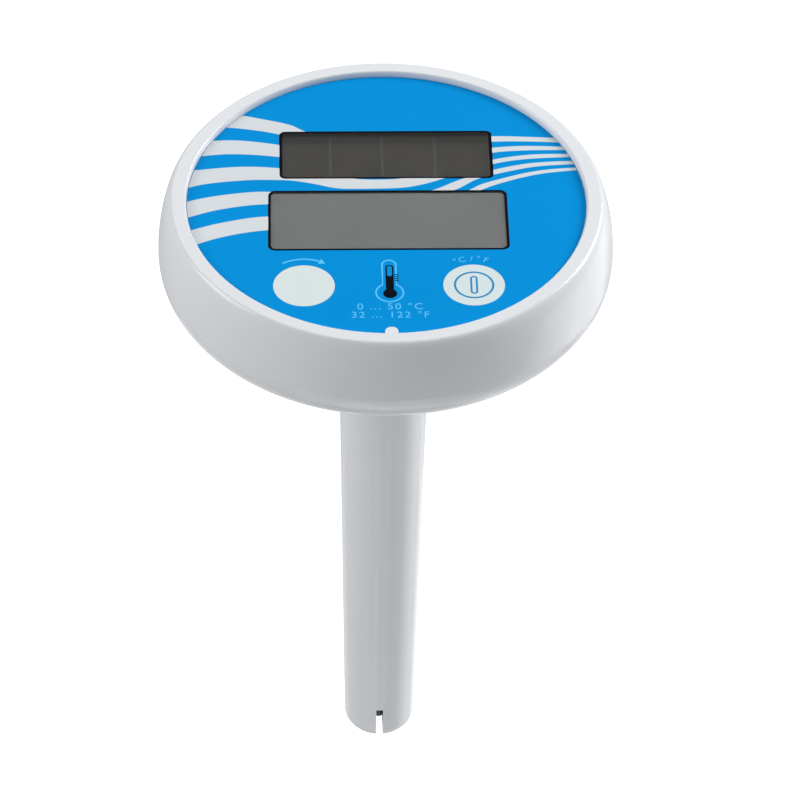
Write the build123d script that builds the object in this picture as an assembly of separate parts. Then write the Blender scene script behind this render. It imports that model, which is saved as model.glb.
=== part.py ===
from build123d import *
import os
from math import cos, radians, sin

# Floating pool thermometer with a solar cell, an LCD and two keys.
# Millimetres. The origin is the centre of the stem's lower end, +Z points up the stem to the face,
# +X is the user's right when the display reads upright, and -Y is the edge nearest the user.

# ---- Float head: heights above the stem's end, and radii from the axis ----
RIM_TOP_Z = 180.6
FACE_Z = RIM_TOP_Z - 1.4
WIDEST_Z = FACE_Z - 14.0
UNDERSIDE_Z = FACE_Z - 26.6
HEAD_RADIUS = 55.0
RIM_FLAT_RADIUS = 51.3
RIM_EDGE_WIDTH = 0.6
RIM_EDGE_DROP = 1.25
RIM_EDGE_FULLNESS = 0.55
UNDERSIDE_FLAT_RADIUS = 34.5
UPPER_FULLNESS = 0.46
LOWER_FULLNESS = 0.64
WALL = 2.4

# ---- Deck, film and lenses ----
FILM_THICKNESS = 0.25
ADHESIVE_THICKNESS = 0.10
DECK_THICKNESS = 2.0
DECK_TOP_Z = FACE_Z - FILM_THICKNESS - ADHESIVE_THICKNESS
DECK_BOTTOM_Z = DECK_TOP_Z - DECK_THICKNESS
FILM_RADIUS = 47.8
RECESS_RADIUS = 47.95
FIT_GAP = 0.05
GASKET_WALL = 0.6

SOLAR_WINDOW = {"x": 0.25, "y": 17.75, "width": 51.8, "depth": 17.9, "corner": 1.5, "lens": 1.2}
LCD_WINDOW = {"x": 0.3, "y": -6.55, "width": 57.4, "depth": 21.8, "corner": 1.8, "lens": 0.5}

LOCATING_BOSS = {"x": 0.3, "y": -46.5, "radius": 1.55, "top": FACE_Z + 0.25}

SOLAR_CELL_WIDTH = 54.4
SOLAR_CELL_DEPTH = 19.2
SOLAR_CELL_GLASS = 1.1
SOLAR_PAD_WIDTH = 44.0
SOLAR_PAD_DEPTH = 13.0
SOLAR_LEAD_RADIUS = 0.35
LCD_GLASS = 1.1
LCD_CONTACT_LEDGE = 2.6
LCD_REFLECTOR = 0.2
CONTACT_STRIP_WIDTH = 2.0

# ---- Keys: pad, actuator and tactile switch under each ----
KEYS = {"reset": -1, "unit": 1}
KEY_X = 20.0
KEY_Y = -30.1
KEY_RADIUS = 7.2
KEY_TRAVEL = 0.25
KEY_POCKET_RADIUS = 7.6
KEY_POCKET_DEPTH = 1.4
KEY_POCKET_FLOOR = 1.2
ACTUATOR_FLANGE_RADIUS = 7.0
ACTUATOR_FLANGE = 0.8
ACTUATOR_STEM_RADIUS = 3.0
SWITCH_SIZE = 6.0
SWITCH_HEIGHT = 3.4
SWITCH_PLUNGER_RADIUS = 1.75
SWITCH_PLUNGER_TOP = 4.3

# ---- Circuit board stack under the deck ----
BOARD_TOP_Z = FACE_Z - 7.6
BOARD_THICKNESS = 1.6
BOARD_BOTTOM_Z = BOARD_TOP_Z - BOARD_THICKNESS
BOARD_WIDTH = 71.0
BOARD_Y = (-35.8, 27.0)
BOARD_CORNER_CUT = 9.0
BOARD_SCREW_POINTS = [(-32.0, 11.0), (32.0, 11.0), (-32.0, -25.0), (32.0, -25.0)]
BOARD_BOSS_RADIUS = 2.6
BOARD_SCREW_RADIUS = 0.95

CONTROLLER_BLOB = {"x": -18.0, "y": -9.0, "radius": 7.0, "height": 1.7}
CRYSTAL = {"x": -18.0, "y": -24.0, "radius": 1.5, "length": 8.0}
CAPACITOR = {"x": 22.0, "y": -10.0, "radius": 3.15, "height": 5.6, "base": 6.6}
CHIP_GRID = {"x": 14.0, "y": -20.0, "columns": 4, "rows": 3, "step_x": 4.5, "step_y": 3.4}
BACKUP_CELL = {"y": 15.0, "radius": 10.0, "height": 3.2}
CELL_TAB_THICKNESS = 0.4
CELL_TAB_WIDTH = 5.0

# ---- Housing joint: lower dish spigot, O-ring and four screws ----
SEAM_RADIUS = 46.8
SPIGOT_RADIUS = 46.6
SPIGOT_INNER_RADIUS = 43.6
SPIGOT_TOP_Z = UNDERSIDE_Z + 7.3
SEAL_Z = UNDERSIDE_Z + 5.2
SEAL_RADIUS = 0.68
HOUSING_SCREW_CIRCLE = 39.9
HOUSING_SCREW_ANGLES = (0, 90, 180, 270)
HOUSING_SCREW_RADIUS = 1.45
HOUSING_BOSS_RADIUS = 3.4
PILLAR_RADIUS = 3.9
PILLAR_TOP_Z = UNDERSIDE_Z + 5.5
SCREW_SEAT_Z = UNDERSIDE_Z + 2.6

# ---- Stem ----
STEM_END_RADIUS = 9.03
STEM_TAPER = 0.01625
STEM_WALL = 2.0
STEM_END_ROUNDING = 3.2
STEM_FLANGE_RADIUS = 18.0
STEM_FLANGE = 2.5
STEM_PAD_RADIUS = 20.0
STEM_PAD_TOP_Z = UNDERSIDE_Z + 5.0
STEM_GASKET = 1.0
STEM_FLANGE_Z = STEM_PAD_TOP_Z + STEM_GASKET
STEM_SCREW_CIRCLE = 14.6
STEM_SCREW_ANGLES = (30, 150, 270)
STEM_SCREW_RADIUS = 1.25
SLOT_WIDTH = 1.75
SLOT_HEIGHT = 11.15
SENSOR_HOLE_RADIUS = 1.9

# ---- Sensor end: thermistor, plug, potting and ballast in the stem's bore ----
THERMISTOR_RADIUS = 1.4
THERMISTOR_Z = (0.4, 10.0)
THERMISTOR_ROUNDING = 0.4
LEAD_RADIUS = 0.5
LEAD_X = 0.55
BULKHEAD_Z = (13.5, 22.0)
POTTING_Z = (22.0, 25.0)
BALLAST_Z = (26.0, 66.0)
BALLAST_RADIUS = 6.7
BALLAST_BORE_RADIUS = 2.0


def stem_radius(z):
    """Outer radius of the tapered stem at height z."""
    return STEM_END_RADIUS + STEM_TAPER * z


def bore_radius(z):
    """Inner radius of the stem at height z."""
    return stem_radius(z) - STEM_WALL


# ---------------------------------------------------------------- shape helpers

def rod(radius, z_low, z_high, x=0.0, y=0.0):
    """Upright round bar."""
    return Pos(x, y, (z_low + z_high) / 2) * Cylinder(radius, z_high - z_low)


def tube(outer, inner, z_low, z_high, x=0.0, y=0.0):
    """Upright ring of rectangular section."""
    return rod(outer, z_low, z_high, x, y) - rod(inner, z_low - 1, z_high + 1, x, y)


def slab(width, depth, z_low, z_high, x=0.0, y=0.0, corner=0.0):
    """Upright block, with rounded vertical corners if a corner radius is given."""
    outline = RectangleRounded(width, depth, corner) if corner else Rectangle(width, depth)
    return extrude(Pos(x, y, z_low) * outline, z_high - z_low)


def turned(*outline):
    """Solid turned about Z from a closed half outline of (radius, height) points."""
    points = [(radius, 0, z) for radius, z in outline]
    return revolve(make_face(Polyline(*points, close=True)), Axis.Z)


def window_slab(window, z_low, z_high, inset=0.0):
    """Block with a window's rounded outline, made smaller all round by inset."""
    return slab(window["width"] - 2 * inset, window["depth"] - 2 * inset, z_low, z_high,
                window["x"], window["y"], max(window["corner"] - inset, 0.3))


def pan_screw(head_radius, head_height, shank_radius, shank_length):
    """Pan head screw pointing down, with the underside of its head at the origin."""
    head = rod(head_radius, 0, head_height)
    head = fillet(head.edges().group_by(Axis.Z)[-1], head_height * 0.45)
    slot_width = head_radius * 0.28
    slot_depth = head_height * 0.5
    for length, width in ((1.3 * head_radius, slot_width), (slot_width, 1.3 * head_radius)):
        head -= slab(length, width, head_height - slot_depth, head_height + 1)
    tip = shank_radius * 0.5
    shank = rod(shank_radius, -shank_length + tip, 0)
    point = Pos(0, 0, -shank_length + tip / 2) * Cone(shank_radius * 0.5, shank_radius, tip)
    return head + shank + point


def on_circle(radius, angles):
    """Points on a circle about the axis."""
    return [(radius * cos(radians(a)), radius * sin(radians(a))) for a in angles]


# ---------------------------------------------------------------- float head

def quarter(radius_wide, z_wide, radius_flat, z_flat, fullness):
    """Curve from the widest point, where it runs upright, to a flat, where it runs level."""
    return Bezier((radius_wide, 0, z_wide),
                  (radius_wide, 0, z_wide + fullness * (z_flat - z_wide)),
                  (radius_flat + fullness * (radius_wide - radius_flat), 0, z_flat),
                  (radius_flat, 0, z_flat))


def head_body():
    """The whole float head as one solid, before it is hollowed and divided."""
    upper = quarter(HEAD_RADIUS, WIDEST_Z, RIM_FLAT_RADIUS, RIM_TOP_Z, UPPER_FULLNESS)
    lower = quarter(HEAD_RADIUS, WIDEST_Z, UNDERSIDE_FLAT_RADIUS, UNDERSIDE_Z, LOWER_FULLNESS)
    top = Line((RIM_FLAT_RADIUS, 0, RIM_TOP_Z), (0, 0, RIM_TOP_Z))
    axis = Line((0, 0, RIM_TOP_Z), (0, 0, UNDERSIDE_Z))
    bottom = Line((0, 0, UNDERSIDE_Z), (UNDERSIDE_FLAT_RADIUS, 0, UNDERSIDE_Z))
    return revolve(make_face([upper, top, axis, bottom, lower]), Axis.Z)


def face_recess():
    """Space above the deck, with a mouth that curves out to the flat of the rim."""
    mouth_radius = RECESS_RADIUS + RIM_EDGE_WIDTH
    mouth_z = RIM_TOP_Z - RIM_EDGE_DROP
    mouth = quarter(RECESS_RADIUS, mouth_z, mouth_radius, RIM_TOP_Z, RIM_EDGE_FULLNESS)
    corners = [(mouth_radius, RIM_TOP_Z), (mouth_radius, RIM_TOP_Z + 1), (0, RIM_TOP_Z + 1),
               (0, DECK_TOP_Z), (RECESS_RADIUS, DECK_TOP_Z), (RECESS_RADIUS, mouth_z)]
    sides = Polyline([(radius, 0, z) for radius, z in corners])
    return revolve(make_face([mouth, *sides.edges()]), Axis.Z)


def make_upper_housing():
    """Rim, bulging wall and deck in one moulding, with its bosses and key pockets."""
    land_top = SPIGOT_TOP_Z + 0.2
    cavity = turned((0, UNDERSIDE_Z - 1), (SEAM_RADIUS, UNDERSIDE_Z - 1), (SEAM_RADIUS, land_top),
                    (HEAD_RADIUS - WALL - 0.4, land_top + 3.0), (HEAD_RADIUS - WALL, WIDEST_Z),
                    (HEAD_RADIUS - WALL - 1.8, DECK_BOTTOM_Z), (0, DECK_BOTTOM_Z))
    housing = head_body() - cavity - face_recess()

    for side in KEYS.values():
        housing += rod(KEY_POCKET_RADIUS + 1.3, DECK_TOP_Z - KEY_POCKET_DEPTH - KEY_POCKET_FLOOR,
                       DECK_BOTTOM_Z + 0.5, side * KEY_X, KEY_Y)
    for x, y in on_circle(HOUSING_SCREW_CIRCLE, HOUSING_SCREW_ANGLES):
        housing += rod(HOUSING_BOSS_RADIUS, PILLAR_TOP_Z + 0.1, DECK_BOTTOM_Z + 0.5, x, y)
        housing -= rod(HOUSING_SCREW_RADIUS + FIT_GAP, PILLAR_TOP_Z - 1, PILLAR_TOP_Z + 9.0, x, y)
    for x, y in BOARD_SCREW_POINTS:
        housing += rod(BOARD_BOSS_RADIUS, BOARD_TOP_Z, DECK_BOTTOM_Z + 0.5, x, y)
        housing -= rod(BOARD_SCREW_RADIUS + FIT_GAP, BOARD_TOP_Z - 1, BOARD_TOP_Z + 5.0, x, y)

    for side in KEYS.values():
        pocket_floor = DECK_TOP_Z - KEY_POCKET_DEPTH
        housing -= rod(KEY_POCKET_RADIUS, pocket_floor, DECK_TOP_Z + 1, side * KEY_X, KEY_Y)
        housing -= rod(ACTUATOR_STEM_RADIUS + FIT_GAP, pocket_floor - 3, pocket_floor + 1,
                       side * KEY_X, KEY_Y)
    for window in (SOLAR_WINDOW, LCD_WINDOW):
        housing -= window_slab(window, DECK_BOTTOM_Z - 1, DECK_TOP_Z + 1)

    boss = LOCATING_BOSS
    post = rod(boss["radius"], DECK_TOP_Z - 0.5, boss["top"], boss["x"], boss["y"])
    bridge = slab(2 * boss["radius"], 3.0, DECK_TOP_Z - 0.5, boss["top"], boss["x"], boss["y"] - 1.5)
    within_rim = rod(RECESS_RADIUS + 0.6, DECK_TOP_Z - 1, RIM_TOP_Z - 0.5)
    return housing + ((post + bridge) & within_rim)


def make_lower_housing():
    """Dish that closes the float from below and carries the stem."""
    rim = turned((0, UNDERSIDE_Z - 1), (SPIGOT_RADIUS, UNDERSIDE_Z - 1),
                 (SPIGOT_RADIUS, SPIGOT_TOP_Z), (0, SPIGOT_TOP_Z))
    floor_z = UNDERSIDE_Z + WALL
    cavity = turned((0, floor_z), (SPIGOT_INNER_RADIUS - 4.5, floor_z),
                    (SPIGOT_INNER_RADIUS, floor_z + 2.4), (SPIGOT_INNER_RADIUS, SPIGOT_TOP_Z + 1),
                    (0, SPIGOT_TOP_Z + 1))
    dish = (head_body() & rim) - cavity
    dish += rod(STEM_PAD_RADIUS, floor_z - 0.5, STEM_PAD_TOP_Z)
    for x, y in on_circle(HOUSING_SCREW_CIRCLE, HOUSING_SCREW_ANGLES):
        dish += rod(PILLAR_RADIUS, floor_z, PILLAR_TOP_Z, x, y)
    for x, y in on_circle(HOUSING_SCREW_CIRCLE, HOUSING_SCREW_ANGLES):
        dish -= rod(HOUSING_SCREW_RADIUS + 0.25, UNDERSIDE_Z - 1, PILLAR_TOP_Z + 1, x, y)
        dish -= rod(3.2, UNDERSIDE_Z - 1, SCREW_SEAT_Z, x, y)
    dish -= tube(SPIGOT_RADIUS + 1, SPIGOT_RADIUS - 1.25, SEAL_Z - 0.8, SEAL_Z + 0.8)
    dish -= rod(stem_radius(STEM_PAD_TOP_Z) + 0.25, UNDERSIDE_Z - 1, STEM_PAD_TOP_Z + 1)
    for x, y in on_circle(STEM_SCREW_CIRCLE, STEM_SCREW_ANGLES):
        dish -= rod(STEM_SCREW_RADIUS + FIT_GAP, UNDERSIDE_Z + 1.4, STEM_PAD_TOP_Z + 1, x, y)
    return dish


def make_housing_joint():
    """O-ring on the spigot, and the four screws driven up from the underside."""
    seal = Pos(0, 0, SEAL_Z) * Torus(SEAM_RADIUS - FIT_GAP - SEAL_RADIUS, SEAL_RADIUS)
    screw = Rot(180, 0, 0) * pan_screw(2.8, 1.8, HOUSING_SCREW_RADIUS, 11.0)
    points = on_circle(HOUSING_SCREW_CIRCLE, HOUSING_SCREW_ANGLES)
    screws = [Pos(x, y, SCREW_SEAT_Z) * screw for x, y in points]
    return {"housing_seal": seal, "housing_screws": Compound(screws)}


# ---------------------------------------------------------------- face

def face_openings(z_low, z_high, clearance):
    """Everything that a face layer has to leave open, each grown by the clearance."""
    openings = [window_slab(window, z_low, z_high, -clearance)
                for window in (SOLAR_WINDOW, LCD_WINDOW)]
    for side in KEYS.values():
        openings.append(rod(KEY_RADIUS + FIT_GAP + clearance, z_low, z_high, side * KEY_X, KEY_Y))
    boss = LOCATING_BOSS
    openings.append(rod(boss["radius"] + clearance, z_low, z_high, boss["x"], boss["y"]))
    openings.append(slab(2 * (boss["radius"] + clearance), 6.0, z_low, z_high,
                         boss["x"], boss["y"] - 3.0))
    return openings


def make_face_layers():
    """Printed film over its adhesive sheet."""
    film = rod(FILM_RADIUS, FACE_Z - FILM_THICKNESS, FACE_Z)
    for opening in face_openings(FACE_Z - 1, FACE_Z + 1, FIT_GAP):
        film -= opening
    adhesive = rod(FILM_RADIUS - 0.4, DECK_TOP_Z, DECK_TOP_Z + ADHESIVE_THICKNESS)
    for opening in face_openings(DECK_TOP_Z - 1, DECK_TOP_Z + 1, 0.5):
        adhesive -= opening
    return {"graphic_overlay": film, "overlay_adhesive": adhesive}


def make_window(name, window, gasket_bottom):
    """Clear lens flush with the film, over a black gasket frame."""
    lens_bottom = FACE_Z - window["lens"]
    lens = window_slab(window, lens_bottom, FACE_Z, FIT_GAP)
    gasket = window_slab(window, gasket_bottom, lens_bottom, FIT_GAP)
    gasket -= window_slab(window, gasket_bottom - 1, lens_bottom + 1, GASKET_WALL)
    return {f"{name}_window": lens, f"{name}_gasket": gasket}


# ---------------------------------------------------------------- keys

def make_key(name, side):
    """One key: pad in the film, actuator through the deck and the switch it presses."""
    x, y = side * KEY_X, KEY_Y
    flange_top = FACE_Z - FILM_THICKNESS
    flange_bottom = flange_top - ACTUATOR_FLANGE
    plunger_top = BOARD_TOP_Z + SWITCH_PLUNGER_TOP
    plunger_bottom = BOARD_TOP_Z + SWITCH_HEIGHT - 0.9
    pad = rod(KEY_RADIUS, flange_top, FACE_Z, x, y)
    actuator = rod(ACTUATOR_FLANGE_RADIUS, flange_bottom, flange_top, x, y)
    actuator += rod(ACTUATOR_STEM_RADIUS, plunger_top, flange_bottom, x, y)
    plunger = rod(SWITCH_PLUNGER_RADIUS, plunger_bottom, plunger_top, x, y)

    case = slab(SWITCH_SIZE, SWITCH_SIZE, BOARD_TOP_Z, BOARD_TOP_Z + SWITCH_HEIGHT, x, y, 0.4)
    case -= rod(SWITCH_PLUNGER_RADIUS + 0.06, plunger_bottom - KEY_TRAVEL - 0.4, plunger_top, x, y)
    for leg_x in (-2.25, 2.25):
        for leg_y in (-3.15, 3.15):
            case += slab(0.7, 0.5, BOARD_TOP_Z, BOARD_TOP_Z + 1.4, x + leg_x, y + leg_y)
    return {f"{name}_key_pad": pad, f"{name}_key_actuator": actuator,
            f"{name}_switch": case, f"{name}_switch_plunger": plunger}


# ---------------------------------------------------------------- display and solar cell

def make_display():
    """Two-glass LCD in its window, its reflector, contact strips and locating frame."""
    x, y = LCD_WINDOW["x"], LCD_WINDOW["y"]
    width = LCD_WINDOW["width"] - 2 * (GASKET_WALL + FIT_GAP)
    depth = LCD_WINDOW["depth"] - 2 * (GASKET_WALL + FIT_GAP)
    front_top = FACE_Z - LCD_WINDOW["lens"] - FIT_GAP
    front_bottom = front_top - LCD_GLASS
    rear_bottom = front_bottom - LCD_GLASS
    panel = window_slab(LCD_WINDOW, front_bottom, front_top, GASKET_WALL + FIT_GAP)
    rear_depth = depth - 2 * LCD_CONTACT_LEDGE
    panel += slab(width, rear_depth, rear_bottom, front_bottom, x, y)
    reflector = slab(width - 2, rear_depth - 1, rear_bottom - LCD_REFLECTOR, rear_bottom, x, y)

    strip_y = depth / 2 - 1.25
    strips = [slab(width - 4, CONTACT_STRIP_WIDTH, BOARD_TOP_Z, front_bottom, x, y + sign * strip_y)
              for sign in (-1, 1)]

    frame_low, frame_high = BOARD_TOP_Z + 0.05, DECK_BOTTOM_Z - 0.1
    holder = slab(width + 6, depth + 3.4, frame_low, frame_high, x, y, 1.0)
    holder -= slab(width + 0.4, depth + 0.4, frame_low - 1, frame_high + 1, x, y)
    for sign in (-1, 1):
        rib_y = y + sign * (strip_y - 1.7)
        holder += slab(width + 2, 1.0, frame_low, rear_bottom - 0.4, x, rib_y)
    return {"lcd_panel": panel, "lcd_reflector": reflector,
            "contact_strips": Compound(strips), "lcd_holder": holder}


def make_solar():
    """Cell on glass against the deck, the foam block behind it and its two leads."""
    x, y = SOLAR_WINDOW["x"], SOLAR_WINDOW["y"]
    cell_bottom = DECK_BOTTOM_Z - SOLAR_CELL_GLASS
    cell = slab(SOLAR_CELL_WIDTH, SOLAR_CELL_DEPTH, cell_bottom, DECK_BOTTOM_Z, x, y)
    pad = slab(SOLAR_PAD_WIDTH, SOLAR_PAD_DEPTH, BOARD_TOP_Z, cell_bottom, x, y, 1.0)
    leads = {}
    for colour, side in (("red", 1), ("black", -1)):
        start, drop = x + side * 24.6, y + side * 2.0
        route = [(start, drop, cell_bottom), (start, drop, cell_bottom - 1.7),
                 (start + side * 2.4, drop, BOARD_TOP_Z + 1.2), (start + side * 2.4, drop, BOARD_TOP_Z)]
        leads[f"solar_lead_{colour}"] = wire_along(route, SOLAR_LEAD_RADIUS, 2 * SOLAR_LEAD_RADIUS)
    return {"solar_cell": cell, "solar_cell_pad": pad, **leads}


def wire_along(route, radius, bend):
    """Round wire along straight runs joined by arcs of one bend radius."""
    path = FilletPolyline(*route, radius=bend)
    start = Vector(*route[0])
    section = Plane(origin=start, z_dir=Vector(*route[1]) - start) * Circle(radius)
    return sweep(section, path)


# ---------------------------------------------------------------- circuit board

def make_board():
    """Board, its screws and everything soldered to it apart from the two switches."""
    y_low, y_high = BOARD_Y
    board = slab(BOARD_WIDTH, y_high - y_low, BOARD_BOTTOM_Z, BOARD_TOP_Z, 0, (y_low + y_high) / 2)
    corners = board.edges().filter_by(Axis.Z)
    board = chamfer(corners, BOARD_CORNER_CUT)
    for x, y in BOARD_SCREW_POINTS:
        board -= rod(BOARD_SCREW_RADIUS + 0.2, BOARD_BOTTOM_Z - 1, BOARD_TOP_Z + 1, x, y)
    screw = Rot(180, 0, 0) * pan_screw(1.9, 1.3, BOARD_SCREW_RADIUS, 5.6)
    screws = [Pos(x, y, BOARD_BOTTOM_Z) * screw for x, y in BOARD_SCREW_POINTS]

    under = BOARD_BOTTOM_Z
    x, y = CONTROLLER_BLOB["x"], CONTROLLER_BLOB["y"]
    radius, height = CONTROLLER_BLOB["radius"], CONTROLLER_BLOB["height"]
    cap_sphere = (radius ** 2 + height ** 2) / (2 * height)
    blob = Pos(x, y, under - height + cap_sphere) * Sphere(cap_sphere)
    blob &= rod(radius + 1, under - height - 1, under, x, y)

    x, y, radius, length = (CRYSTAL[key] for key in ("x", "y", "radius", "length"))
    crystal = Pos(x, y, under - radius - 0.05) * Rot(0, 90, 0) * Cylinder(radius, length)
    for lead_y in (y - 0.7, y + 0.7):
        crystal += slab(2.4, 0.4, under - 1.8, under, x + length / 2 + 1.1, lead_y)

    x, y, base = CAPACITOR["x"], CAPACITOR["y"], CAPACITOR["base"]
    capacitor = rod(CAPACITOR["radius"], under - CAPACITOR["height"], under - 0.4, x, y)
    capacitor = fillet(capacitor.edges().group_by(Axis.Z)[0], 0.5)
    capacitor += slab(base, base, under - 0.6, under, x, y)

    grid = CHIP_GRID
    chips = []
    for column in range(grid["columns"]):
        for row in range(grid["rows"]):
            chip_x = grid["x"] + grid["step_x"] * column
            chip_y = grid["y"] - grid["step_y"] * row
            chips.append(slab(2.0, 1.25, under - 0.55, under, chip_x, chip_y))
    return {"main_board": board, "board_screws": Compound(screws), "controller_blob": blob,
            "clock_crystal": crystal, "smoothing_capacitor": capacitor,
            "chip_components": Compound(chips)}


def make_backup_cell():
    """Rechargeable coin cell under the board, between two metal tabs."""
    y, radius = BACKUP_CELL["y"], BACKUP_CELL["radius"]
    tab, width = CELL_TAB_THICKNESS, CELL_TAB_WIDTH
    cell_top = BOARD_BOTTOM_Z - tab
    cell_bottom = cell_top - BACKUP_CELL["height"]
    cell = fillet(rod(radius, cell_bottom, cell_top, 0, y).edges(), 0.4)
    riser_x = radius + 3.8
    negative = slab(15.0, width, cell_top, BOARD_BOTTOM_Z, -4.5, y)
    positive = slab(21.0, width, cell_bottom - tab, cell_bottom, riser_x + tab / 2 - 10.5, y)
    positive += slab(tab, width, cell_bottom - tab, BOARD_BOTTOM_Z, riser_x, y)
    return {"backup_cell": cell, "cell_tab_negative": negative, "cell_tab_positive": positive}


# ---------------------------------------------------------------- stem and sensor

def make_stem():
    """Tapered tube with a flange at the top and a slotted, rounded lower end."""
    top_z = STEM_FLANGE_Z + STEM_FLANGE
    tube_body = turned((0, 0), (stem_radius(0), 0), (stem_radius(STEM_FLANGE_Z), STEM_FLANGE_Z),
                       (STEM_FLANGE_RADIUS, STEM_FLANGE_Z), (STEM_FLANGE_RADIUS, top_z), (0, top_z))
    tube_body = fillet(tube_body.edges().group_by(Axis.Z)[0], STEM_END_ROUNDING)
    floor_z = STEM_WALL
    bore = turned((0, floor_z), (bore_radius(floor_z) - 1.2, floor_z),
                  (bore_radius(floor_z), floor_z + 1.2), (bore_radius(top_z + 1), top_z + 1),
                  (0, top_z + 1))
    stem = tube_body - bore
    stem -= slab(SLOT_WIDTH, 3 * STEM_END_RADIUS, -1, SLOT_HEIGHT)
    stem -= rod(SENSOR_HOLE_RADIUS, -1, floor_z + 1)
    for x, y in on_circle(STEM_SCREW_CIRCLE, STEM_SCREW_ANGLES):
        stem -= rod(STEM_SCREW_RADIUS + 0.2, STEM_FLANGE_Z - 1, top_z + 1, x, y)

    gasket = tube(STEM_FLANGE_RADIUS, stem_radius(STEM_FLANGE_Z) + 0.4, STEM_PAD_TOP_Z, STEM_FLANGE_Z)
    for x, y in on_circle(STEM_SCREW_CIRCLE, STEM_SCREW_ANGLES):
        gasket -= rod(STEM_SCREW_RADIUS + 0.2, STEM_PAD_TOP_Z - 1, STEM_FLANGE_Z + 1, x, y)
    screw = pan_screw(2.4, 1.6, STEM_SCREW_RADIUS, 6.6)
    points = on_circle(STEM_SCREW_CIRCLE, STEM_SCREW_ANGLES)
    screws = [Pos(x, y, top_z) * screw for x, y in points]
    return {"stem_tube": stem, "stem_gasket": gasket, "stem_screws": Compound(screws)}


def make_sensor_end():
    """Thermistor behind the slot, the plug and potting above it, and the ballast."""
    low, high = THERMISTOR_Z
    thermistor = rod(THERMISTOR_RADIUS, low, high)
    thermistor = fillet(thermistor.edges(), THERMISTOR_ROUNDING)

    low, high = BULKHEAD_Z
    gap = FIT_GAP
    groove_z = (low + high) / 2
    groove_half = 0.9
    groove_radius = bore_radius(groove_z) - 1.5
    plug = turned((1.6, low), (bore_radius(low) - gap, low),
                  (bore_radius(groove_z - groove_half) - gap, groove_z - groove_half),
                  (groove_radius, groove_z - groove_half), (groove_radius, groove_z + groove_half),
                  (bore_radius(groove_z + groove_half) - gap, groove_z + groove_half),
                  (bore_radius(high) - gap, high), (1.6, high))
    seal_radius = 0.7
    seal_circle = bore_radius(groove_z) - gap - seal_radius
    seal = Pos(0, 0, groove_z) * Torus(seal_circle, seal_radius)

    low, high = POTTING_Z
    potting = turned((0, low), (bore_radius(low) - gap, low), (bore_radius(high) - gap, high), (0, high))
    for side in (-1, 1):
        potting -= rod(LEAD_RADIUS, low - 1, high + 1, side * LEAD_X)

    ballast = tube(BALLAST_RADIUS, BALLAST_BORE_RADIUS, *BALLAST_Z)
    ballast = chamfer(ballast.edges().filter_by(GeomType.CIRCLE), 0.4)
    return {"thermistor": thermistor, "probe_bulkhead": plug, "bulkhead_seal": seal,
            "probe_potting": potting, "ballast_weight": ballast}


def make_sensor_lead():
    """Two wires up the stem to a side-entry connector under the board."""
    entry_z = BOARD_BOTTOM_Z - 2.2
    plug_face_y = -16.0
    leads = {}
    for colour, side in (("red", 1), ("black", -1)):
        x = side * LEAD_X
        route = [(x, 0, THERMISTOR_Z[1]), (x, 0, entry_z - 1.2), (x, plug_face_y + 6.0, entry_z),
                 (x, plug_face_y, entry_z)]
        leads[f"probe_lead_{colour}"] = wire_along(route, LEAD_RADIUS, 4.6)
    plug = slab(5.0, 4.0, entry_z - 1.6, entry_z + 1.6, 0, plug_face_y - 2.0)
    header = slab(7.4, 6.5, BOARD_BOTTOM_Z - 4.4, BOARD_BOTTOM_Z, 0, plug_face_y - 4.25)
    header -= slab(5.1, 4.0, entry_z - 1.65, entry_z + 1.65, 0, plug_face_y - 2.0)
    return {"probe_plug": plug, "probe_header": header, **leads}


# ---------------------------------------------------------------- assembly

def build():
    nodes = {"upper_housing": make_upper_housing(), "lower_housing": make_lower_housing()}
    nodes.update(make_housing_joint())
    nodes.update(make_face_layers())
    nodes.update(make_window("solar", SOLAR_WINDOW, DECK_BOTTOM_Z))
    nodes.update(make_window("lcd", LCD_WINDOW, DECK_BOTTOM_Z))
    for name, side in KEYS.items():
        nodes.update(make_key(name, side))
    nodes.update(make_display())
    nodes.update(make_solar())
    nodes.update(make_board())
    nodes.update(make_backup_cell())
    nodes.update(make_stem())
    nodes.update(make_sensor_end())
    nodes.update(make_sensor_lead())
    return nodes


os.makedirs("parts", exist_ok=True)
for node_name, shape in build().items():
    export_step(shape, f"parts/{node_name}.step")
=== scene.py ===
from math import cos, pi, radians, sin

import bmesh
import bpy
from mathutils import Matrix, Vector
from mathutils.geometry import delaunay_2d_cdt


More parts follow.
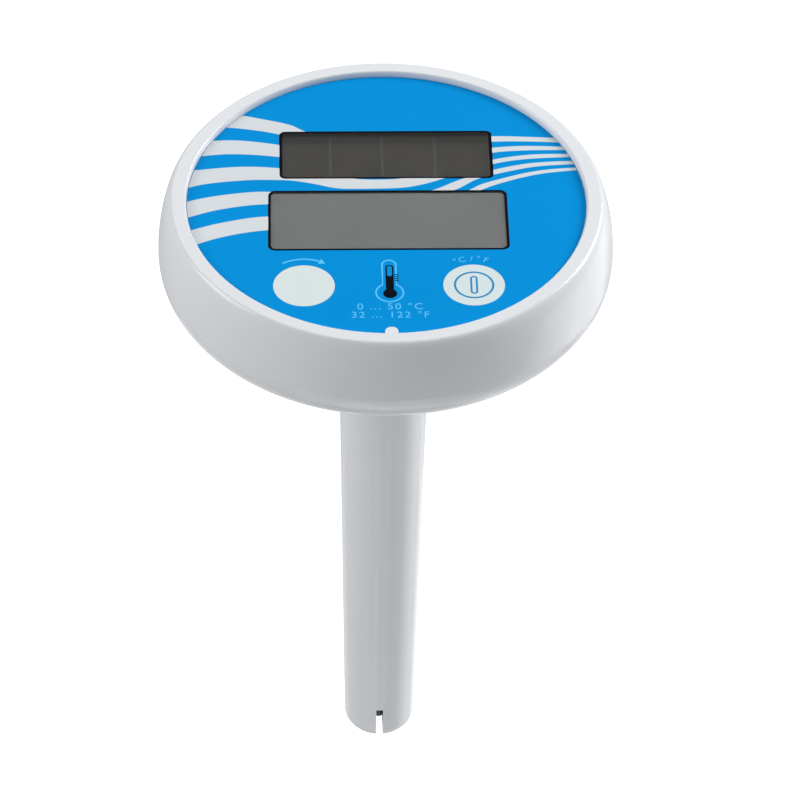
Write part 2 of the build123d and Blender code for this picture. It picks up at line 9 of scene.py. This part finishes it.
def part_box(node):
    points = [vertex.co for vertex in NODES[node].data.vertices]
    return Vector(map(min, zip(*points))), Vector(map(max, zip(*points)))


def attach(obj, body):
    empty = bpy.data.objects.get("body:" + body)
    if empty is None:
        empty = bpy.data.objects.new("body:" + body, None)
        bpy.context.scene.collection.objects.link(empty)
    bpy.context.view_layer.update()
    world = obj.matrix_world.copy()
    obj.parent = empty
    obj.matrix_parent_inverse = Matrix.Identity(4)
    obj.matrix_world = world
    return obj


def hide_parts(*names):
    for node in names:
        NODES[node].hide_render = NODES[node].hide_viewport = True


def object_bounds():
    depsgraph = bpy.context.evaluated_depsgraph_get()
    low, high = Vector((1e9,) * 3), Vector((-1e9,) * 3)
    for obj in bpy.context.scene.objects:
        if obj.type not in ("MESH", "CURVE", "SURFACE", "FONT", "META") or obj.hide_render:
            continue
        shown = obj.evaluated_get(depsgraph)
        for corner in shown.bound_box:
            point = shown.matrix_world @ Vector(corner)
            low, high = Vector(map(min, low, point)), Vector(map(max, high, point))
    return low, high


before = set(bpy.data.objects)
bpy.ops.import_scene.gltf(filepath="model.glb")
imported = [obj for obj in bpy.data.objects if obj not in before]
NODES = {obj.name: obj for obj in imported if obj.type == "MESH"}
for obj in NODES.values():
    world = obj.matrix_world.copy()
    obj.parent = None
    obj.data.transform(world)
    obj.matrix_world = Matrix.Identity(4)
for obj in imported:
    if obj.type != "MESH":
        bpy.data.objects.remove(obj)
cad_low, cad_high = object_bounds()

MM = 0.001
INK_THICKNESS = 0.02 * MM
CIRCLE_SEGMENTS = 96

# ---------------------------------------------------------------- places taken from the frame

# FACE_Z is in metres, as heights for Blender are. The other places are in millimetres.
FACE_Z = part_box("graphic_overlay")[1].z
FILM_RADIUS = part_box("graphic_overlay")[1].x / MM


def flat_box(node):
    """A node's lowest and highest x and y, in millimetres."""
    low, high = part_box(node)
    return low.x / MM, low.y / MM, high.x / MM, high.y / MM


def centre_of(node):
    """Centre of a node seen from above, in millimetres."""
    x0, y0, x1, y1 = flat_box(node)
    return (x0 + x1) / 2, (y0 + y1) / 2


SOLAR = flat_box("solar_window")
DISPLAY = flat_box("lcd_window")
RESET_KEY = centre_of("reset_key_pad")
UNIT_KEY = centre_of("unit_key_pad")
KEY_RADIUS = flat_box("reset_key_pad")[2] - RESET_KEY[0]

# ---------------------------------------------------------------- materials


def shader(name, base, roughness, **inputs):
    """Material with one Principled shader. Returns the material, its node tree and the shader."""
    material = bpy.data.materials.new(name)
    material.use_nodes = True
    tree = material.node_tree
    principled = tree.nodes["Principled BSDF"]
    principled.inputs["Base Color"].default_value = (*base, 1.0)
    principled.inputs["Roughness"].default_value = roughness
    for key, value in inputs.items():
        principled.inputs[key.replace("_", " ")].default_value = value
    return material, tree, principled


def noise(tree, scale, detail=2.0):
    """Noise texture in object coordinates; scale is in cycles per metre."""
    place = tree.nodes.new("ShaderNodeTexCoord")
    texture = tree.nodes.new("ShaderNodeTexNoise")
    texture.inputs["Scale"].default_value = scale
    texture.inputs["Detail"].default_value = detail
    tree.links.new(place.outputs["Object"], texture.inputs["Vector"])
    return texture.outputs["Fac"]


def shade(colour, factor):
    """A colour made lighter or darker."""
    return tuple(min(channel * factor, 1.0) for channel in colour)


def mottle(tree, principled, source, base, low, high):
    """Base colour times low to high, over the middle range of a noise value."""
    node = tree.nodes.new("ShaderNodeValToRGB")
    darker, lighter = node.color_ramp.elements
    darker.position, lighter.position = 0.3, 0.7
    darker.color = (*shade(base, low), 1.0)
    lighter.color = (*shade(base, high), 1.0)
    tree.links.new(source, node.inputs["Fac"])
    tree.links.new(node.outputs["Color"], principled.inputs["Base Color"])


def uneven_gloss(tree, principled, source, low, high):
    """Roughness from low to high over the middle range of a noise value."""
    node = tree.nodes.new("ShaderNodeMapRange")
    node.inputs["From Min"].default_value = 0.35
    node.inputs["From Max"].default_value = 0.65
    node.inputs["To Min"].default_value = low
    node.inputs["To Max"].default_value = high
    tree.links.new(source, node.inputs["Value"])
    tree.links.new(node.outputs["Result"], principled.inputs["Roughness"])


def relief_from(tree, principled, height, strength, distance):
    """Fine surface relief from a noise value; distance is in metres."""
    node = tree.nodes.new("ShaderNodeBump")
    node.inputs["Strength"].default_value = strength
    node.inputs["Distance"].default_value = distance
    tree.links.new(height, node.inputs["Height"])
    tree.links.new(node.outputs["Normal"], principled.inputs["Normal"])


def moulded(name, base, roughness, variation=0.03, relief=0.15, grain=900.0, **inputs):
    """Moulded plastic: faint cloudiness in colour and gloss, and fine orange peel."""
    material, tree, principled = shader(name, base, roughness, **inputs)
    mottle(tree, principled, noise(tree, 35.0, detail=3.0), base, 1 - variation, 1 + variation)
    uneven_gloss(tree, principled, noise(tree, 90.0, detail=4.0), roughness * 0.85, roughness * 1.15)
    relief_from(tree, principled, noise(tree, grain, detail=1.0), relief, 0.02 * MM)
    return material


def white_abs():
    """Glossy white ABS of the housings and the stem."""
    return moulded("white_abs_plastic", (0.785, 0.81, 0.838), 0.22, variation=0.012, relief=0.12,
                   grain=420.0, Specular_IOR_Level=0.5)


def film_print(name, base, variation=0.015, gloss=0.1):
    """Ink on the matt side of the polyester film, whose fine texture kills most of its shine."""
    return moulded(name, base, 0.42, variation=variation, relief=0.25, grain=2600.0,
                   Specular_IOR_Level=gloss)


def clear_lens():
    """Clear polycarbonate with a trace of haze in its gloss."""
    material, tree, principled = shader("clear_polycarbonate", (0.97, 0.98, 0.98), 0.03,
                                        Transmission_Weight=1.0, IOR=1.5)
    uneven_gloss(tree, principled, noise(tree, 120.0, detail=3.0), 0.015, 0.05)
    return material


def solar_coating():
    """Brown amorphous silicon behind glass, slightly mottled."""
    base = (0.032, 0.023, 0.010)
    material, tree, principled = shader("solar_cell_coating", base, 0.20, Specular_IOR_Level=0.42)
    mottle(tree, principled, noise(tree, 160.0, detail=4.0), base, 0.82, 1.2)
    uneven_gloss(tree, principled, noise(tree, 300.0), 0.185, 0.215)
    return material


def display_polariser():
    """Blank display: grey polariser with a soft satin grain."""
    base = (0.341, 0.352, 0.345)
    material, tree, principled = shader("display_polariser", base, 0.35)
    mottle(tree, principled, noise(tree, 60.0), base, 0.96, 1.04)
    relief_from(tree, principled, noise(tree, 5000.0, detail=1.0), 0.1, 0.01 * MM)
    return material


def metal(name, base, roughness):
    """Turned or plated metal with fine scratches."""
    material, tree, principled = shader(name, base, roughness, Metallic=1.0)
    scratches = noise(tree, 1500.0, detail=4.0)
    uneven_gloss(tree, principled, scratches, roughness * 0.7, roughness * 1.4)
    relief_from(tree, principled, scratches, 0.2, 0.01 * MM)
    return material


WHITE = white_abs()
BLUE = film_print("blue_printed_film", (0.0, 0.282, 0.710), gloss=0.04)
PALE = film_print("pale_printed_film", (0.705, 0.785, 0.785))
WAVE_WHITE = film_print("wave_white_ink", (0.680, 0.722, 0.748))
PALE_BLUE = film_print("pale_blue_printed_film", (0.690, 0.785, 0.800))
KEY_BLUE = film_print("key_blue_ink", (0.020, 0.270, 0.560), gloss=0.04)
LIGHT_BLUE = film_print("light_blue_ink", (0.115, 0.58, 0.98))
BLACK = film_print("black_ink", (0.004, 0.005, 0.010), variation=0.1, gloss=0.03)
CLEAR = clear_lens()
SOLAR_BROWN = solar_coating()
DISPLAY_GREY = display_polariser()
STEEL = metal("zinc_plated_steel", (0.62, 0.62, 0.63), 0.30)
BALLAST = metal("turned_steel", (0.36, 0.36, 0.37), 0.38)
RUBBER_BLACK = moulded("black_foam_rubber", (0.012, 0.012, 0.013), 0.75, variation=0.15, relief=0.6)
RUBBER_GREY = moulded("grey_silicone", (0.42, 0.42, 0.40), 0.55, variation=0.04, relief=0.3)
NATURAL = moulded("natural_abs_plastic", (0.60, 0.58, 0.52), 0.42, variation=0.03)
EPOXY_BLACK = moulded("black_epoxy", (0.018, 0.018, 0.019), 0.30, variation=0.2, relief=0.4)
SENSOR_GREY = moulded("grey_sensor_sleeve", (0.075, 0.078, 0.082), 0.45, variation=0.1, relief=0.3)
GREEN = moulded("green_solder_mask", (0.015, 0.17, 0.06), 0.33, variation=0.1, relief=0.3)
RED_WIRE = moulded("red_wire_cover", (0.50, 0.02, 0.02), 0.42)
RED_PLASTIC = moulded("red_plunger_plastic", (0.50, 0.07, 0.04), 0.38)
AMBER = moulded("amber_potting", (0.40, 0.27, 0.09), 0.20, variation=0.1)

FINISHES = {
    WHITE: ["upper_housing", "lower_housing", "stem_tube"],
    BLUE: ["graphic_overlay"],
    PALE: ["reset_key_pad"],
    PALE_BLUE: ["unit_key_pad"],
    CLEAR: ["solar_window", "lcd_window"],
    SOLAR_BROWN: ["solar_cell"],
    DISPLAY_GREY: ["lcd_panel"],
    STEEL: ["housing_screws", "stem_screws", "board_screws", "clock_crystal", "backup_cell",
            "cell_tab_positive", "cell_tab_negative"],
    BALLAST: ["ballast_weight"],
    RUBBER_BLACK: ["solar_gasket", "lcd_gasket", "contact_strips", "probe_lead_black", "solar_lead_black"],
    RUBBER_GREY: ["housing_seal", "stem_gasket", "bulkhead_seal", "solar_cell_pad"],
    NATURAL: ["lcd_holder", "reset_key_actuator", "unit_key_actuator", "probe_header", "probe_plug",
              "probe_bulkhead", "lcd_reflector", "overlay_adhesive"],
    SENSOR_GREY: ["thermistor"],
    EPOXY_BLACK: ["controller_blob", "chip_components", "smoothing_capacitor",
                  "reset_switch", "unit_switch"],
    GREEN: ["main_board"],
    RED_WIRE: ["probe_lead_red", "solar_lead_red"],
    RED_PLASTIC: ["reset_switch_plunger", "unit_switch_plunger"],
    AMBER: ["probe_potting"],
}
for finish, names in FINISHES.items():
    for name in names:
        NODES[name].data.materials.clear()
        NODES[name].data.materials.append(finish)

# ---------------------------------------------------------------- print on the face


def circle(x, y, radius, count=CIRCLE_SEGMENTS):
    """Closed round loop."""
    return [(x + radius * cos(2 * pi * i / count), y + radius * sin(2 * pi * i / count))
            for i in range(count)]


def arc(x, y, radius, start, end, count=24):
    """Open arc from start to end, in degrees."""
    steps = [radians(start + (end - start) * i / count) for i in range(count + 1)]
    return [(x + radius * cos(a), y + radius * sin(a)) for a in steps]


def rounded_box(x0, y0, x1, y1, corner):
    """Closed loop round a rectangle with round corners."""
    centres = [(x1 - corner, y1 - corner, 0), (x0 + corner, y1 - corner, 90),
               (x0 + corner, y0 + corner, 180), (x1 - corner, y0 + corner, 270)]
    return [point for x, y, start in centres for point in arc(x, y, corner, start, start + 90, count=8)]


def capsule(x, y0, y1, radius):
    """Closed upright loop with round ends, whose end centres are at y0 and y1."""
    return arc(x, y1, radius, 0, 180, count=16) + arc(x, y0, radius, 180, 360, count=16)


def inside_loop(loop):
    """Test that says whether a point is inside a closed loop."""
    def test(x, y):
        inside = False
        x0, y0 = loop[-1]
        for x1, y1 in loop:
            if (y0 > y) != (y1 > y) and x < (x1 - x0) * (y - y0) / (y1 - y0) + x0:
                inside = not inside
            x0, y0 = x1, y1
        return inside
    return test


def inside_any(loops):
    """Test that says whether a point is inside at least one of the loops."""
    tests = [inside_loop(loop) for loop in loops]
    return lambda x, y: any(test(x, y) for test in tests)


def between(outer, inner):
    """Test that says whether a point is inside the outer loop and outside the inner one."""
    in_outer, in_inner = inside_loop(outer), inside_loop(inner)
    return lambda x, y: in_outer(x, y) and not in_inner(x, y)


def printed(name, loops, covers, material, body="root", base_z=FACE_Z):
    """Layer of ink wherever covers(x, y) says so, on a flat surface at height base_z, in metres.

    The loops are in millimetres and hold every edge of the print.
    """
    points, edges = [], []
    for loop in loops:
        first = len(points)
        points += [Vector(point) for point in loop]
        edges += [(first + i, first + (i + 1) % len(loop)) for i in range(len(loop))]
    verts, _, triangles, *_ = delaunay_2d_cdt(points, edges, [], 0, 1e-5)
    ink = bmesh.new()
    placed = [ink.verts.new((v.x * MM, v.y * MM, base_z)) for v in verts]
    for triangle in triangles:
        middle = sum((verts[i] for i in triangle), Vector((0, 0))) / len(triangle)
        if covers(*middle):
            ink.faces.new([placed[i] for i in triangle])
    bmesh.ops.delete(ink, geom=[v for v in ink.verts if not v.link_faces], context="VERTS")
    top = bmesh.ops.extrude_face_region(ink, geom=ink.faces[:])
    raised = [item for item in top["geom"] if isinstance(item, bmesh.types.BMVert)]
    bmesh.ops.translate(ink, verts=raised, vec=(0, 0, INK_THICKNESS))
    bmesh.ops.recalc_face_normals(ink, faces=ink.faces)
    piece(name, ink, material, body)


def piece(name, built, material, body):
    """Object from a bmesh, riding on a body."""
    mesh = bpy.data.meshes.new(name)
    built.to_mesh(mesh)
    built.free()
    mesh.materials.append(material)
    made = bpy.data.objects.new(name, mesh)
    bpy.context.scene.collection.objects.link(made)
    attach(made, body)
    return made


def smooth_curve(knots):
    """Points about 1 mm apart along a smooth line y(x) through knots of rising x."""
    step = 1.0
    xs = [x for x, y in knots]
    ys = [y for x, y in knots]
    last = len(knots) - 1
    slopes = []
    for i in range(last + 1):
        a, b = max(i - 1, 0), min(i + 1, last)
        slopes.append((ys[b] - ys[a]) / (xs[b] - xs[a]))
    line = []
    for i in range(last):
        span = xs[i + 1] - xs[i]
        count = max(int(span / step), 1)
        for j in range(count):
            t = j / count
            h00, h10 = 2 * t**3 - 3 * t**2 + 1, t**3 - 2 * t**2 + t
            h01, h11 = 3 * t**2 - 2 * t**3, t**3 - t**2
            y = h00 * ys[i] + h10 * span * slopes[i] + h01 * ys[i + 1] + h11 * span * slopes[i + 1]
            line.append((xs[i] + t * span, y))
    return line + [(xs[-1], ys[-1])]


# Upper and lower edge of each pale wave across the face, left to right, in millimetres.
WAVES = [
    ([(-50, 36.4), (-34.2, 32.8), (-29.2, 31.35), (-25, 30.05), (-22, 28.7), (-19.4, 26.75), (0, 20),
      (15, 23.6), (26.3, 24.6), (41.3, 23.9), (50, 23.2)],
     [(-50, 28.0), (-38.4, 28.3), (-30, 26.9), (-25.6, 25.6), (0, 18), (15, 21.2), (26.3, 22.5), (35, 22.55),
      (43, 22.1), (50, 21.6)]),
    ([(-50, 22.6), (-41.6, 23.3), (-35, 23.3), (-25.6, 21.6), (0, 15), (15, 18.2), (26.3, 20.25), (34, 20.85),
      (43.8, 20.5), (50, 20.2)],
     [(-50, 16.0), (-44.7, 17.4), (-37, 18.2), (-25.6, 17.0), (0, 11), (15, 15.2), (26.3, 18.35), (34, 19.15),
      (44, 19.25), (50, 19.2)]),
    ([(-50, 11.4), (-46.3, 12.1), (-35, 13.4), (-25.6, 12.8), (-15, 10.4), (-7, 8.7), (-2, 8.4), (3, 8.7),
      (15, 11.4), (26.3, 15.75), (34, 17.4), (39, 17.75), (44.5, 17.75), (50, 17.6)],
     [(-50, 4.6), (-43.8, 6.9), (-33, 8.4), (-26, 8.4), (-23, 8.2), (-19.5, 7.5), (-16, 6.5), (-13, 5.5),
      (-10, 5.05), (0, 5.1), (5, 5.5), (9, 6.6), (12, 7.8), (14.5, 8.95), (26.3, 14.1), (34, 15.85),
      (44.8, 16.6), (50, 16.8)]),
    ([(-50, -0.4), (-43.8, 1.8), (-35, 3.6), (-28, 4.0), (0, 0.8), (11.25, 4.4), (17, 7.75), (19.5, 9.0),
      (26.25, 11.9), (34, 14.1), (39, 14.75), (45.5, 15.1), (50, 15.1)],
     [(-50, -6.4), (-40, -2.5), (-28.4, -0.6), (0, -2), (16.5, 4.4), (21.5, 8.1), (23.4, 9.05), (26.3, 10.15),
      (34, 12.5), (39, 13.4), (46, 13.9), (50, 14.0)]),
    ([(-50, -11.4), (-40, -7.5), (-28.4, -5.1), (0, -6), (20, 4.3), (22.5, 6.2), (26.25, 7.9), (34, 10.7),
      (40, 12.0), (50, 12.9)],
     [(-50, -17.6), (-40, -12.8), (-28.4, -10.1), (0, -9), (22.75, 4.25), (26.25, 6.2), (34, 9.3),
      (40, 10.8), (50, 12.0)]),
]
SOLAR_CORNER = 1.45
DISPLAY_CORNER = 1.75
PICTOGRAM_X = 0.1


def make_waves():
    """Five pale waves that narrow from left to right and pass behind both windows."""
    bands = [smooth_curve(upper) + smooth_curve(lower)[::-1] for upper, lower in WAVES]
    edge = circle(0, 0, FILM_RADIUS - 0.02, 2 * CIRCLE_SEGMENTS)
    windows = [rounded_box(*SOLAR, SOLAR_CORNER), rounded_box(*DISPLAY, DISPLAY_CORNER)]
    on_film, on_wave, on_window = inside_loop(edge), inside_any(bands), inside_any(windows)

    def covers(x, y):
        return on_film(x, y) and on_wave(x, y) and not on_window(x, y)

    printed("wave_print", bands + windows + [edge], covers, WAVE_WHITE)


def make_border(name, window, corner, side_width, end_width):
    """Black frame printed round the edge of a lens."""
    x0, y0, x1, y1 = window
    outer = rounded_box(x0, y0, x1, y1, corner)
    inner = rounded_box(x0 + side_width, y0 + end_width, x1 - side_width, y1 - end_width,
                        corner - end_width)
    printed(name, [outer, inner], between(outer, inner), BLACK)


def make_reset_arrow():
    """Light blue arrow that turns round the top of the left key: the usual sign for a reset."""
    x, y = RESET_KEY
    radius, half_line, half_head = KEY_RADIUS + 2.2, 0.22, 0.95
    start, end, back, tip = 122, 66, 66.5, 57

    def polar(distance, angle):
        return x + distance * cos(radians(angle)), y + distance * sin(radians(angle))

    line = arc(x, y, radius + half_line, start, end) + arc(x, y, radius - half_line, end, start)
    head = [polar(radius, tip), polar(radius + half_head, back), polar(radius - half_head, back)]
    printed("reset_arrow_print", [line, head], inside_any([line, head]), LIGHT_BLUE)


def make_unit_symbol():
    """Blue ring with an upright outlined bar, on the right key."""
    x, y = UNIT_KEY
    half_bar = 2.28
    ring = [circle(x, y, radius) for radius in (4.75, 4.25)]
    bar = [capsule(x, y - half_bar, y + half_bar, radius) for radius in (0.88, 0.43)]
    in_ring, in_bar = between(*ring), between(*bar)
    printed("unit_key_print", ring + bar, lambda px, py: in_ring(px, py) or in_bar(px, py), KEY_BLUE,
            body="unit_key")


def make_thermometer_symbol():
    """Thermometer pictogram: light blue outline, black column and four scale marks."""
    outline_x, tube_y, tube_radius, bulb_y, bulb_radius = PICTOGRAM_X, -22.8, 1.8, -32.7, 3.4
    line_width, shoulder = 0.38, 30

    def outline(inset):
        tube = arc(outline_x, tube_y, tube_radius - inset, 0, 180)
        bulb = arc(outline_x, bulb_y, bulb_radius - inset, 90 + shoulder, 450 - shoulder, count=40)
        return tube + bulb

    loops = [outline(0.0), outline(line_width)]
    printed("thermometer_outline_print", loops, between(*loops), LIGHT_BLUE)

    x, low, level, high = PICTOGRAM_X + 0.1, -33.0, -26.3, -23.8
    column = capsule(x, low, high, 0.95)
    hollow = capsule(x, level, high, 0.6)
    bulb = circle(x, low, 1.65)
    mark_start, mark_end, half_mark, mark_corner = 1.15, 2.1, 0.16, 0.1
    marks = [rounded_box(x + mark_start, y - half_mark, x + mark_end, y + half_mark, mark_corner)
             for y in (-26.4, -27.1, -27.8, -28.5)]
    in_column, in_bulb_or_mark = between(column, hollow), inside_any([bulb] + marks)
    printed("thermometer_column_print", [column, hollow, bulb] + marks,
            lambda px, py: in_column(px, py) or in_bulb_or_mark(px, py), BLACK)


def lettering(name, text, height, x, y, turn=0.0, spacing=1.0):
    """Light blue characters. Height is that of a capital, x and y the foot of the middle, in mm."""
    capital_share = 0.69
    curve = bpy.data.curves.new(name, "FONT")
    curve.body = text
    curve.size = height * MM / capital_share
    curve.align_x = "CENTER"
    curve.space_character = spacing
    curve.extrude = INK_THICKNESS / 2
    source = bpy.data.objects.new(name + "_source", curve)
    bpy.context.scene.collection.objects.link(source)
    bpy.context.view_layer.update()
    mesh = bpy.data.meshes.new_from_object(source.evaluated_get(bpy.context.evaluated_depsgraph_get()))
    bpy.data.objects.remove(source)
    place = Matrix.Translation((x * MM, y * MM, FACE_Z + INK_THICKNESS / 2))
    mesh.transform(place @ Matrix.Rotation(turn, 4, "Z"))
    letters = bmesh.new()
    letters.from_mesh(mesh)
    bpy.data.meshes.remove(mesh)
    bmesh.ops.remove_doubles(letters, verts=letters.verts, dist=1e-7)
    piece(name, letters, LIGHT_BLUE, "root")


def make_unit_letters():
    """Degree signs and unit letters on an arc above the right key."""
    x, y = UNIT_KEY
    foot_radius, height = KEY_RADIUS + 1.35, 1.75
    for index, (sign, angle) in enumerate((("°", 116), ("C", 106), ("/", 92), ("°", 82), ("F", 71))):
        a = radians(angle)
        lettering(f"unit_letter_{index}_print", sign, height, x + foot_radius * cos(a),
                  y + foot_radius * sin(a), turn=a - pi / 2)


def make_range_numbers():
    """The two ranges that the display covers, under the pictogram."""
    height, spacing = 2.1, 1.2
    lettering("range_celsius_print", "0 ... 50 °C", height, PICTOGRAM_X, -38.6, spacing=spacing)
    lettering("range_fahrenheit_print", "32 ... 122 °F", height, PICTOGRAM_X, -41.5, spacing=spacing)


make_waves()
make_border("solar_border_print", SOLAR, SOLAR_CORNER, side_width=0.7, end_width=0.5)
make_border("display_border_print", DISPLAY, DISPLAY_CORNER, side_width=0.6, end_width=0.5)
make_reset_arrow()
make_unit_symbol()
make_thermometer_symbol()
make_unit_letters()
make_range_numbers()

# ---------------------------------------------------------------- key pads


def turned(name, profile, x, y, material, body, slot):
    """Closed solid turned about an upright line at x, y. The profile is (radius, z) in mm from the axis."""
    built = bmesh.new()
    rings = []
    for radius, z in profile:
        rings.append([built.verts.new((px * MM, py * MM, z * MM)) for px, py in circle(x, y, radius)])
    for lower, upper in zip(rings, rings[1:]):
        for i in range(CIRCLE_SEGMENTS):
            j = (i + 1) % CIRCLE_SEGMENTS
            built.faces.new((lower[i], lower[j], upper[j], upper[i]))
    built.faces.new(rings[0][::-1])
    built.faces.new(rings[-1])
    for face in built.faces:
        face.smooth = len(face.verts) == 4
    return piece(name, built, material, body)


def make_key_pad(key, centre, material):
    """Key cap that nearly fills its hole in the film, with a slightly softened upper edge."""
    node = f"{key}_key_pad"
    low, high = (corner.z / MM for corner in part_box(node))
    growth, edge = 0.07, 0.05
    radius = KEY_RADIUS + growth
    profile = [(radius, low), (radius, high - edge), (radius - 0.3 * edge, high - 0.3 * edge),
               (radius - edge, high)]
    pad = turned(f"{node}_cap", profile, *centre, material, f"{key}_key", "key_film")
    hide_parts(node)


make_key_pad("reset", RESET_KEY, PALE)
make_key_pad("unit", UNIT_KEY, PALE_BLUE)

# ---------------------------------------------------------------- solar cell detail


def make_cell_lines():
    """Thin lines between the four segments of the cell, and its edge strip at the right."""
    _, y0, _, y1 = flat_box("solar_cell")
    centre_x, _ = centre_of("solar_cell")
    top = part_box("solar_cell")[1].z
    half_line, margin, corner = 0.35, 0.4, 0.1
    edge_strip = (24.85, 25.1)
    spans = [(offset - half_line, offset + half_line) for offset in (-13.5, -0.95, 11.85)] + [edge_strip]
    lines = [rounded_box(centre_x + left, y0 + margin, centre_x + right, y1 - margin, corner)
             for left, right in spans]
    material = moulded("cell_scribe_line", (0.068, 0.065, 0.060), 0.22)
    printed("solar_cell_lines", lines, inside_any(lines), material, base_z=top)


make_cell_lines()

# ---------------------------------------------------------------- studio


LIT_POINT = Vector((0.0, 0.0, 0.15))
SOFTBOX_DISTANCE = 1.2
SOFTBOX_SIZE = 0.6

# Name, azimuth and elevation in degrees, and power in watts of each softbox.
SOFTBOXES = [
    ("back_right_softbox", 120, 30, 12.1),
    ("left_softbox", 270, 30, 6.4),
    ("low_right_softbox", 90, -30, 1.3),
    ("low_back_right_softbox", 120, -30, 1.0),
    ("under_front_softbox", 0, -60, 0.9),
    ("under_front_right_softbox", 30, -60, 0.5),
    ("under_right_softbox", 90, -60, 0.7),
    ("under_back_right_softbox", 150, -60, 0.75),
    ("under_back_left_softbox", 210, -60, 0.5),
    ("under_front_left_softbox", 330, -60, 0.65),
]


def make_floor():
    """Wide pale floor well below the stem, as the object floats upright and can't stand."""
    half, low = 30.0, cad_low.z - 1.5
    mesh = bpy.data.meshes.new("studio_floor")
    corners = [(-half, -half, low), (half, -half, low), (half, half, low), (-half, half, low)]
    mesh.from_pydata(corners, [], [(0, 1, 2, 3)])
    material, *_ = shader("studio_floor_paint", (0.92, 0.92, 0.92), 0.8,
                          Emission_Color=(1, 1, 1, 1), Emission_Strength=1.0)
    mesh.materials.append(material)
    floor = bpy.data.objects.new("studio_floor", mesh)
    floor.visible_diffuse = floor.visible_glossy = floor.visible_shadow = False
    bpy.context.scene.collection.objects.link(floor)


def make_softbox(name, azimuth, elevation, power):
    """Square soft light aimed at the head. Azimuth 0 is the front and 90 the right."""
    data = bpy.data.lights.new(name, "AREA")
    data.shape = "SQUARE"
    data.size = SOFTBOX_SIZE
    data.energy = power
    turn, rise = radians(azimuth), radians(elevation)
    toward = Vector((sin(turn) * cos(rise), -cos(turn) * cos(rise), sin(rise)))
    lamp = bpy.data.objects.new(name, data)
    lamp.location = LIT_POINT + SOFTBOX_DISTANCE * toward
    lamp.rotation_mode = "QUATERNION"
    lamp.rotation_quaternion = (-toward).to_track_quat("-Z", "Y")
    lamp.visible_camera = False
    bpy.context.scene.collection.objects.link(lamp)


def make_world(seen, lit):
    """White surround: bright behind the object, dimmer as a light on it."""
    world = bpy.data.worlds.new("studio")
    world.use_nodes = True
    tree = world.node_tree
    tree.nodes.clear()
    out = tree.nodes.new("ShaderNodeOutputWorld")
    mix = tree.nodes.new("ShaderNodeMixShader")
    path = tree.nodes.new("ShaderNodeLightPath")
    for index, strength in ((1, lit), (2, seen)):
        background = tree.nodes.new("ShaderNodeBackground")
        background.inputs["Color"].default_value = (1, 1, 1, 1)
        background.inputs["Strength"].default_value = strength
        tree.links.new(background.outputs["Background"], mix.inputs[index])
    tree.links.new(path.outputs["Is Camera Ray"], mix.inputs["Fac"])
    tree.links.new(mix.outputs["Shader"], out.inputs["Surface"])
    bpy.context.scene.world = world


def make_camera():
    """Camera at the product shot's viewing angle."""
    azimuth, elevation, roll = radians(-2.04), radians(42.896), radians(1.07)
    aim, distance, lens = Vector((0.0041, -0.0013, 0.1156)), 1.12, 202.17
    back = Vector((sin(azimuth) * cos(elevation), -cos(azimuth) * cos(elevation), sin(elevation)))
    side = Vector((cos(azimuth), sin(azimuth), 0))
    up = back.cross(side)
    right = side * cos(roll) + up * sin(roll)
    top = up * cos(roll) - side * sin(roll)
    data = bpy.data.cameras.new("camera")
    data.lens = lens
    data.sensor_width = 36.0
    data.clip_start, data.clip_end = 0.01, 100.0
    camera = bpy.data.objects.new("camera", data)
    camera.matrix_world = Matrix((
        (right.x, top.x, back.x, aim.x + back.x * distance),
        (right.y, top.y, back.y, aim.y + back.y * distance),
        (right.z, top.z, back.z, aim.z + back.z * distance),
        (0, 0, 0, 1)))
    bpy.context.scene.collection.objects.link(camera)
    bpy.context.scene.camera = camera


make_floor()
make_world(seen=1.0, lit=0.417)
for softbox in SOFTBOXES:
    make_softbox(*softbox)
make_camera()
bpy.context.scene.view_settings.view_transform = "Standard"
